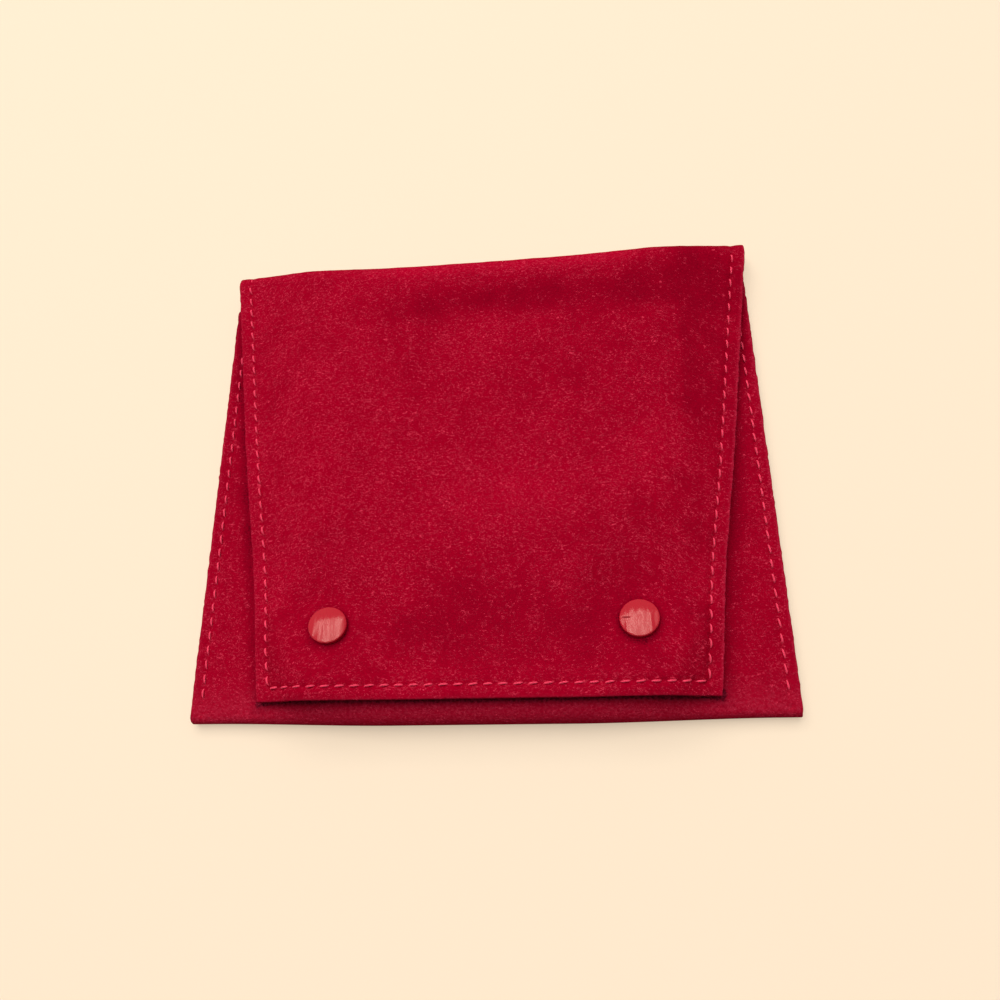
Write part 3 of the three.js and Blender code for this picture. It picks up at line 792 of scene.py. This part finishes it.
def stitches(name, strip, rows, cols, lean, depth, facing=1):
    """A row of stitches from needle hole to needle hole, which are at rows and cols of a strip's grid and
    at a depth below its face. Each is a bent tube of twisted plies: its line is the chord, leaned sideways,
    arched out of the suede and sunk at both ends. With facing -1 it arches out on the far side."""
    face, into, _ = strip
    holes = (face + into * depth)[rows, cols]
    into = facing * into[rows, cols]
    first, last = holes[:-1], holes[1:]
    down = unit(into[:-1] + into[1:])
    chord = last - first
    beside = np.cross(unit(chord), down)
    varied = np.random.default_rng(len(name)).uniform(-1, 1, (len(first), 3))
    t = np.linspace(0, 1, STITCH_RINGS)
    run = 0.5 + STITCH_SHOWN * (t - 0.5)
    sunk = 0.5 * np.abs(2 * t - 1) ** 3 - 0.22
    lean = np.broadcast_to(lean, len(first))
    sway = (lean[:, None] + 0.05 * varied[:, :1]) * (2 * t - 1)[None, :]
    line = (
        first[:, None] + chord[:, None] * run[None, :, None]
        + down[:, None] * (sunk[None, :] + 0.03 * varied[:, 1:2])[..., None]
        + beside[:, None] * sway[..., None]
    )
    radius = THREAD_DIAMETER / 2 * (1 - 0.65 * np.abs(2 * t - 1) ** 3)
    around = circle(STITCH_SIDES)
    size = radius[:, None] * (1 + 0.1 * np.cos(3 * around[None, :] - 5 * t[:, None]))
    offset = (
        beside[:, None, None] * (size * np.cos(around))[None, ..., None]
        + down[:, None, None] * (size * np.sin(around))[None, ..., None]
    )
    points = line[:, :, None] + offset
    shape = points.shape[:3]
    grid = np.arange(math.prod(shape)).reshape(shape)
    ends = np.concatenate([grid[:, 0, ::-1], grid[:, -1]])
    flat = [np.broadcast_to(way, shape) for way in (around / math.pi, 3 * t[None, :, None])]
    faces = [bands(grid[:, :-1], grid[:, 1:]), ends]
    return mesh_piece(name, points, faces, thread, np.stack(flat, axis=-1))


def hem_route(down_rows):
    """Grid rows and columns of the needle holes in the flap's hem, and the lean of each stitch: down the
    left side, along the end, up the right. down_rows are the rows of the holes in a side."""
    end_columns = len(EDGE_STEPS) - 1 + COLUMNS_PER_HEM_STITCH * np.arange(FLAP_END_STITCHES + 1)
    along_end = np.full(len(end_columns) + 2, len(flap) - 1 - HEM_LINE)
    left = np.full(len(down_rows) + 1, HEM_LINE)
    rows = np.concatenate([down_rows, along_end, down_rows[::-1]])
    cols = np.concatenate([left, end_columns, flap.shape[1] - 1 - left])
    lean = np.full(len(rows) - 1, SIDE_LEAN)
    lean[len(down_rows):-len(down_rows)] = END_LEAN
    return rows, cols, lean


over_crease = np.arange(0, panel_row - 1, ROWS_PER_CREASE_STITCH)
on_panel = panel_row - 1 + ROWS_PER_HEM_STITCH * np.arange(FLAP_SIDE_STITCHES + 1)
route = hem_route(np.concatenate([over_crease, on_panel]))
flap_stitches = stitches("flap_stitches", flap_strip, *route, STITCH_DEPTH)
turn_with_flap(flap_stitches)
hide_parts("flap_thread_outside")

route = hem_route(on_panel[BOBBIN_START:])
flap_bobbin_stitches = stitches("flap_bobbin_stitches", flap_strip, *route, WALL - STITCH_DEPTH, facing=-1)
turn_with_flap(flap_bobbin_stitches)
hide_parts("flap_thread_inside")

front_rows = np.append(SEAM_LINE, len(EDGE_STEPS) - 1 + ROWS_PER_SEAM_STITCH * np.arange(FRONT_STITCHES))
back_rows = back_row - 1 + ROWS_PER_SEAM_STITCH * np.arange(1, BACK_STITCHES + 1)
for side, column in (("left", SEAM_LINE), ("right", pocket.shape[1] - 1 - SEAM_LINE)):
    row = (pocket_strip, front_rows, column, SEAM_LEAN)
    seam = stitches(f"seam_stitches_{side}", *row, STITCH_DEPTH)
    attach(seam, "pouch")
    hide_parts(f"seam_thread_{side}")
    row = (pocket_strip, back_rows, column, SEAM_LEAN)
    behind = stitches(f"seam_bobbin_stitches_{side}", *row, BOBBIN_DEPTH)
    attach(behind, "pouch")

mouth_columns = len(EDGE_STEPS) - 1 + COLUMNS_PER_MOUTH_STITCH * np.arange(MOUTH_STITCHES + 1)
mouth_stitches = stitches("mouth_stitches", pocket_strip, MOUTH_LINE, mouth_columns, END_LEAN, STITCH_DEPTH)
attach(mouth_stitches, "pouch")
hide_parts("mouth_thread")

# Press-stud caps
# Brass caps drawn to a low dome and sprayed with glossy red lacquer. Each is riveted through the flap,
# and its post is clenched in the socket under it.
CAP_HEIGHT = 1.45
CAP_EDGE_HEIGHT = 0.72
CAP_EDGE_ROUND = 0.34
DIMPLE_RADIUS = 0.42
DIMPLE_DEPTH = 0.05
POST_RADIUS = 1.25
PIECE_GAP = 0.2
SOCKET_SHEET = 0.4
TURNING_SIDES = 72
CORNER_STEPS = 5


def rounded(profile, radius):
    """A closed or open outline of (r, z) pairs with each inner corner cut by a curve of that radius."""
    profile = [np.array(p, float) for p in profile]
    out = [profile[0]]
    for before, corner, after in zip(profile, profile[1:], profile[2:]):
        arms = (before - corner, after - corner)
        reach = min(radius, 0.45 * min(np.linalg.norm(arm) for arm in arms))
        start, end = (corner + reach * unit(arm) for arm in arms)
        for t in np.linspace(0, 1, CORNER_STEPS):
            out.append((1 - t) ** 2 * start + 2 * t * (1 - t) * corner + t * t * end)
    return np.array(out + [profile[-1]])


def across(stud):
    """Two unit directions that are square to a stud's axis and to each other."""
    aside = unit(np.cross([0, 1, 0], stud["axis"]))
    return aside, np.cross(stud["axis"], aside)


def turned_piece(name, profile, stud, material):
    """A profile of (r, z) pairs spun about the stud's axis, from z = 0 on its seat.
    It starts and ends on the axis, where its rings close in poles, or it ends where it starts."""
    aside, beside = across(stud)
    turn = circle(TURNING_SIDES)[:, None]
    spoke = np.cos(turn) * aside + np.sin(turn) * beside
    on_axis = profile[0][0] < 1e-6
    r, z = (profile[1:-1] if on_axis else profile[:-1]).T[..., None, None]
    points = (stud["seat"] + z * stud["axis"] + r * spoke).reshape(-1, 3)
    grid = np.arange(len(points)).reshape(-1, TURNING_SIDES)
    if not on_axis:
        return mesh_piece(name, points, [bands(grid, np.roll(grid, -1, axis=0))], material)
    poles = stud["seat"] + profile[[0, -1], 1][:, None] * stud["axis"]
    first, last = (np.full(TURNING_SIDES, len(points) + i) for i in range(2))
    start = np.stack([first, np.roll(grid[0], -1), grid[0]], axis=1)
    end = np.stack([last, grid[-1], np.roll(grid[-1], -1)], axis=1)
    faces = [bands(grid[:-1], grid[1:]), start, end]
    return mesh_piece(name, np.concatenate([points, poles]), faces, material)


def cap_profile():
    """Foot of the post, underside, rolled edge, and a dome that rises as the square of the way in."""
    r = CAP_DIAMETER / 2
    seat = STUD_STACK + WALL + PIECE_GAP / 2
    foot = STUD_STACK - PIECE_GAP - SOCKET_SHEET
    under = rounded([
        (0, foot), (POST_RADIUS, foot), (POST_RADIUS, seat), (r - 0.9, seat), (r - 0.6, seat - CAP_LIP),
        (r - 0.15, seat - CAP_LIP), (r, seat - CAP_LIP + 0.15), (r, seat + 0.2),
    ], 0.1)
    turn = np.linspace(0, math.radians(66), 9)
    edge = np.stack([
        r - CAP_EDGE_ROUND + CAP_EDGE_ROUND * np.cos(turn),
        seat + CAP_EDGE_HEIGHT - CAP_EDGE_ROUND * 0.4 + CAP_EDGE_ROUND * np.sin(turn),
    ], axis=1)
    start_r, start_z = edge[-1]
    out = np.linspace(1, 0, 34)[1:]
    dome_z = start_z + (seat + CAP_HEIGHT - start_z) * (1 - out**2)
    dome_z = dome_z - DIMPLE_DEPTH * hump(out * start_r / DIMPLE_RADIUS)
    dome = np.stack([start_r * out, dome_z], axis=1)
    return np.concatenate([under, edge, dome])


LACQUER_RED = "b00a28"
LACQUER_WORN = "74121c"
LACQUER_GLOSS = (1.0, 0.68, 0.6, 1.0)
LACQUER_ROUGHNESS = 0.16
LACQUER_STREAK_PER_MM = 0.55
STREAK_SQUEEZE = 0.22
NICK_PLACE = (29.9, -32.8)
NICK_HALF = (0.95, 0.22)
NICK_WEAR = 0.8


def in_millimetres(tree):
    """Places on a piece in millimetres, from the object's own coordinates."""
    place = put(tree, "TexCoord", out="Object")
    return put(tree, "Mapping", {"Vector": place, "Scale": (1 / MM, 1 / MM, 1 / MM)})


def red_lacquer():
    """Sprayed lacquer: a glossy red coat with faint flow streaks, and a dull dark nick in the right cap."""
    made, tree, shader = new_material("glossy_red_lacquer")
    place = in_millimetres(tree)
    drawn = put(tree, "Mapping", {"Vector": place, "Scale": (1, STREAK_SQUEEZE, STREAK_SQUEEZE)})
    streaks = put(tree, "TexNoise", {
        "Vector": drawn, "Scale": LACQUER_STREAK_PER_MM, "Detail": 1.0, "Distortion": 0.4,
    })
    nick = put(tree, "Mapping", {
        "Vector": place, "Location": (-NICK_PLACE[0] / NICK_HALF[0], -NICK_PLACE[1] / NICK_HALF[1], 0),
        "Scale": (1 / NICK_HALF[0], 1 / NICK_HALF[1], 0),
    })
    away = put(tree, "VectorMath", (nick,), out="Value", operation="LENGTH")
    worn = put(tree, "MapRange", (away, 0.6, 1.2, NICK_WEAR, 0.0))
    rough = put(tree, "MapRange", (away, 0.6, 1.2, NICK_WEAR, LACQUER_ROUGHNESS))
    mixed = put(tree, "Mix", {
        0: worn, 6: colour(LACQUER_RED), 7: colour(LACQUER_WORN),
    }, out=2, data_type="RGBA")
    bump = put(tree, "Bump", {"Strength": 0.7, "Distance": 0.4 * MM, "Height": streaks})
    feed(tree, shader, {
        "Base Color": mixed, "Normal": bump, "Roughness": rough, "Specular IOR Level": 0.5,
        "Specular Tint": LACQUER_GLOSS,
    })
    return made


lacquer = red_lacquer()
for side, stud in STUDS.items():
    cap = turned_piece(f"stud_cap_{side}", cap_profile(), stud, lacquer)
    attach(cap, "flap")
    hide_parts(f"snap_cap_{side}")

# Sockets, studs and posts
# Nickel-plated brass, pressed from sheet. The socket is under the flap, with a ring spring inside it;
# the stud stands on the front panel, held by an eyelet post that is set from inside the pocket.
SOCKET_RADIUS = 3.75
SOCKET_RIM = 0.2
SOCKET_MOUTH_RADIUS = 2.4
STUD_BASE_RADIUS = 3.6
STUD_BASE_THICKNESS = 0.4
STUD_NECK_RADIUS = 1.55
STUD_HEAD_RADIUS = 1.95
POST_WALL = 0.45
FLANGE_RADIUS = 3.8
FLANGE_THICKNESS = 0.5
HOLE_RADIUS = 1.4
SPRING_WIRE = 0.4
SPRING_PLAY = 0.075
WIRE_SIDES = 12
NICKEL = "c2bdb2"
NICKEL_SHADE = "9d978c"
STEEL = "a2a2a4"
STEEL_SHADE = "7e7e80"


def bright_metal(name, pale, shade, roughness):
    """Plated sheet or drawn wire: cloudy colour from handling, and the fine marks of the tools."""
    made, tree, shader = new_material(name)
    place = in_millimetres(tree)
    clouds = put(tree, "TexNoise", {"Vector": place, "Scale": 0.6, "Detail": 4.0})
    mixed = put(tree, "Mix", {0: clouds, 6: colour(shade), 7: colour(pale)}, out=2, data_type="RGBA")
    marks = put(tree, "TexNoise", {"Vector": place, "Scale": 7.0, "Detail": 2.0})
    bump = put(tree, "Bump", {"Strength": 0.25, "Distance": 0.03 * MM, "Height": marks})
    feed(tree, shader, {"Base Color": mixed, "Normal": bump, "Metallic": 1.0, "Roughness": roughness})
    return made


nickel = bright_metal("nickel_plated_brass", NICKEL, NICKEL_SHADE, 0.3)
drawn_wire = bright_metal("drawn_spring_wire", STEEL, STEEL_SHADE, 0.25)


def socket_profile():
    """A shallow cup, mouth down, whose rim is rolled inwards over the spring."""
    top = STUD_STACK - PIECE_GAP / 2
    bottom = STUD_BASE_THICKNESS + PIECE_GAP * 1.5
    r = SOCKET_RADIUS
    inside = r - SOCKET_SHEET
    return rounded([
        (HOLE_RADIUS, top), (HOLE_RADIUS, top - SOCKET_SHEET), (inside, top - SOCKET_SHEET),
        (inside, bottom + SOCKET_RIM), (SOCKET_MOUTH_RADIUS, bottom + SOCKET_RIM),
        (SOCKET_MOUTH_RADIUS, bottom), (r, bottom), (r, top), (HOLE_RADIUS, top),
    ], 0.18)


def stud_profile():
    """A flat base and a waisted head that the spring snaps round."""
    base = PIECE_GAP / 2
    shelf = base + STUD_BASE_THICKNESS
    head = STUD_STACK - PIECE_GAP * 1.5 - SOCKET_SHEET
    waist = shelf + 0.4 * (head - shelf)
    crown = shelf + 0.72 * (head - shelf)
    return rounded([
        (HOLE_RADIUS, base), (STUD_BASE_RADIUS, base), (STUD_BASE_RADIUS, shelf),
        (STUD_NECK_RADIUS + 0.2, shelf), (STUD_NECK_RADIUS, waist), (STUD_HEAD_RADIUS, crown),
        (STUD_HEAD_RADIUS - 0.2, head - 0.08), (HOLE_RADIUS, head), (HOLE_RADIUS, base),
    ], 0.16)


def post_profile():
    """An eyelet: a tube through the front panel, with a broad flange inside the pocket."""
    under = -WALL - PIECE_GAP / 2
    top = STUD_STACK - SOCKET_SHEET - 2.5 * PIECE_GAP
    bore = POST_RADIUS - POST_WALL
    return rounded([
        (bore, top), (bore, under - FLANGE_THICKNESS), (FLANGE_RADIUS, under - FLANGE_THICKNESS),
        (FLANGE_RADIUS, under), (POST_RADIUS, under), (POST_RADIUS, top), (bore, top),
    ], 0.2)


def ring_spring(name, stud):
    """A round wire bent to a ring with two straight chords, which grip the stud's waist."""
    wire = SPRING_WIRE / 2
    chord = STUD_NECK_RADIUS + wire + SPRING_PLAY
    ring = SOCKET_RADIUS - SOCKET_SHEET - wire - PIECE_GAP
    height = STUD_BASE_THICKNESS + PIECE_GAP * 2 + SOCKET_RIM + wire
    turn = circle(TURNING_SIDES)
    out = np.minimum(ring, chord / np.maximum(np.abs(np.cos(turn)), 1e-6))
    centre = np.stack([out * np.cos(turn), out * np.sin(turn)], axis=1)
    ahead = unit(np.roll(centre, -1, axis=0) - np.roll(centre, 1, axis=0))
    around = circle(WIRE_SIDES)
    r = wire * np.cos(around)
    a = centre[:, :1] + ahead[:, 1:] * r
    b = centre[:, 1:] - ahead[:, :1] * r
    h = height + wire * np.sin(around) + 0 * a
    aside, beside = across(stud)
    points = stud["seat"] + a[..., None] * aside + b[..., None] * beside + h[..., None] * stud["axis"]
    grid = np.arange(a.size).reshape(a.shape)
    return mesh_piece(name, points, [bands(grid, np.roll(grid, -1, axis=0))], drawn_wire)


for side, stud in STUDS.items():
    socket = turned_piece(f"stud_socket_{side}", socket_profile(), stud, nickel)
    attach(socket, "flap")
    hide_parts(f"snap_socket_{side}")
    spring = ring_spring(f"stud_spring_{side}", stud)
    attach(spring, "flap")
    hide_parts(f"snap_spring_{side}")
    head = turned_piece(f"stud_head_{side}", stud_profile(), stud, nickel)
    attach(head, "pouch")
    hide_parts(f"snap_stud_{side}")
    eyelet = turned_piece(f"stud_post_{side}", post_profile(), stud, nickel)
    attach(eyelet, "pouch")
    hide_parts(f"snap_post_{side}")

# Table
# A plain cream sheet under the pouch, which takes its shadow.
TABLE_CREAM = "fde8cd"
TABLE_SHADED = 0.5
TABLE_HALF = 2.0
TABLE_DROP = 0.00008


def shown(tree):
    """1 for rays from the camera, a mirror or glass and 0 for the rest, so that the pale surroundings
    show in the picture and in metal, and don't light the pouch any more than the room does."""
    path = put(tree, "LightPath").node.outputs
    rays = (path["Is Glossy Ray"], path["Is Transmission Ray"])
    mirrored = put(tree, "Math", rays, operation="MAXIMUM")
    return put(tree, "Math", (path["Is Camera Ray"], mirrored), operation="MAXIMUM")


def cream_paper():
    """Matt uncoated paper with a faint tooth. TABLE_SHADED of its colour takes light and shadow, and the
    rest is a glow for the shown rays."""
    made, tree, shader = new_material("cream_paper")
    place = put(tree, "TexCoord", out="Object")
    tooth = put(tree, "TexNoise", {"Vector": place, "Scale": 900.0, "Detail": 3.0})
    bump = put(tree, "Bump", {"Strength": 0.1, "Distance": 0.1 * MM, "Height": tooth})
    glow = put(tree, "Math", (shown(tree), 1 - TABLE_SHADED), operation="MULTIPLY")
    cream = colour(TABLE_CREAM)
    feed(tree, shader, {
        "Base Color": (*(TABLE_SHADED * c for c in cream[:3]), 1.0), "Normal": bump, "Roughness": 0.9,
        "Specular IOR Level": 0.1, "Emission Color": cream, "Emission Strength": glow,
    })
    return made


bpy.ops.mesh.primitive_plane_add(size=2 * TABLE_HALF, location=(0, 0, -TABLE_DROP))
table = bpy.context.object
table.name = "table"
table.data.materials.append(cream_paper())

# Light
# A wide skylight that slopes down behind, in panes of uneven brightness. The room round it is pale above
# and behind and dim in front, and the rays that shown lets through see cream all round.
WINDOW_TARGET = Vector((0, 0, 0.005))
WINDOW_DISTANCE = 1.0
WINDOW_AZIMUTH = math.radians(186.5)
WINDOW_ELEVATION = math.radians(45)
WINDOW_RAISED = 0.56
WINDOW_HEIGHT = 1.26
WINDOW_WATTS = 16.6
WINDOW_WHITE = (1.0, 0.985, 0.96)
ROOM_TOP = 0.6
ROOM_BACK = 0.4
ROOM_FRONT = 0.07
ROOM_WHITE = (1.0, 0.98, 0.95, 1.0)
BACKDROP_SHOWN = 0.9
# Width in metres and brightness of each pane, from the right of the window to its left
PANES = (
    (0.2, 0.35), (0.18, 0.8), (0.05, 2.4), (0.31, 0.8), (0.05, 2.4), (0.14, 0.8), (0.05, 3.0), (0.14, 0.7),
)


def direction(azimuth, elevation):
    """Unit vector at an elevation, and at an azimuth from the front (-y) round by the right (+x)."""
    level = math.cos(elevation)
    return Vector((math.sin(azimuth) * level, -math.cos(azimuth) * level, math.sin(elevation)))


towards = direction(WINDOW_AZIMUTH, WINDOW_ELEVATION)
facing = towards.to_track_quat("Z", "Y")
window_width = sum(width for width, _ in PANES)
reached = -window_width / 2
for number, (width, brightness) in enumerate(PANES):
    lamp = bpy.data.lights.new(f"window_pane_{number}", "AREA")
    lamp.shape = "RECTANGLE"
    lamp.size = width
    lamp.size_y = WINDOW_HEIGHT
    lamp.energy = WINDOW_WATTS * brightness * width / window_width
    lamp.color = WINDOW_WHITE
    pane = bpy.data.objects.new(f"window_pane_{number}", lamp)
    across_window = Vector((reached + width / 2, WINDOW_RAISED, 0))
    pane.location = WINDOW_TARGET + towards * WINDOW_DISTANCE + facing @ across_window
    reached += width
    pane.rotation_mode = "QUATERNION"
    pane.rotation_quaternion = facing
    bpy.context.scene.collection.objects.link(pane)

world = bpy.data.worlds.new("pale_room")
bpy.context.scene.world = world
world.use_nodes = True
air = world.node_tree
generated = put(air, "TexCoord", out="Generated")
outwards = put(air, "SeparateXYZ", (generated,)).node.outputs
walls = put(air, "MapRange", (outwards["Y"], -0.8, 0.8, ROOM_FRONT, ROOM_BACK))
room = put(air, "MapRange", (outwards["Z"], 0.85, 1.0, walls, ROOM_TOP))
strength = put(air, "Mix", {0: shown(air), 2: room, 3: BACKDROP_SHOWN})
tints = {0: shown(air), 6: ROOM_WHITE, 7: colour(TABLE_CREAM)}
tint = put(air, "Mix", tints, out=2, data_type="RGBA")
feed(air, air.nodes["Background"], {"Strength": strength, "Color": tint})

# Camera
# It looks down on the pouch from just in front, a little turned, as the photograph does.
CAMERA_AZIMUTH = math.radians(22.76)
CAMERA_ELEVATION = math.radians(73.48)
CAMERA_ROLL = math.radians(-24.13)
CAMERA_DISTANCE = 197.87
CAMERA_TARGET = Vector((3.683, -5.608, 5.0))
CAMERA_LENS = 32.4

camera = bpy.data.objects.new("camera", bpy.data.cameras.new("camera"))
bpy.context.scene.collection.objects.link(camera)
behind = direction(CAMERA_AZIMUTH, CAMERA_ELEVATION)
camera.location = (CAMERA_TARGET + behind * CAMERA_DISTANCE) * MM
camera.rotation_mode = "QUATERNION"
camera.rotation_quaternion = (-behind).to_track_quat("-Z", "Y") @ Quaternion((0, 0, 1), CAMERA_ROLL)
camera.data.lens = CAMERA_LENS
camera.data.sensor_width = 36
camera.data.clip_start = 0.005
bpy.context.scene.camera = camera
bpy.context.scene.view_settings.view_transform = "Standard"
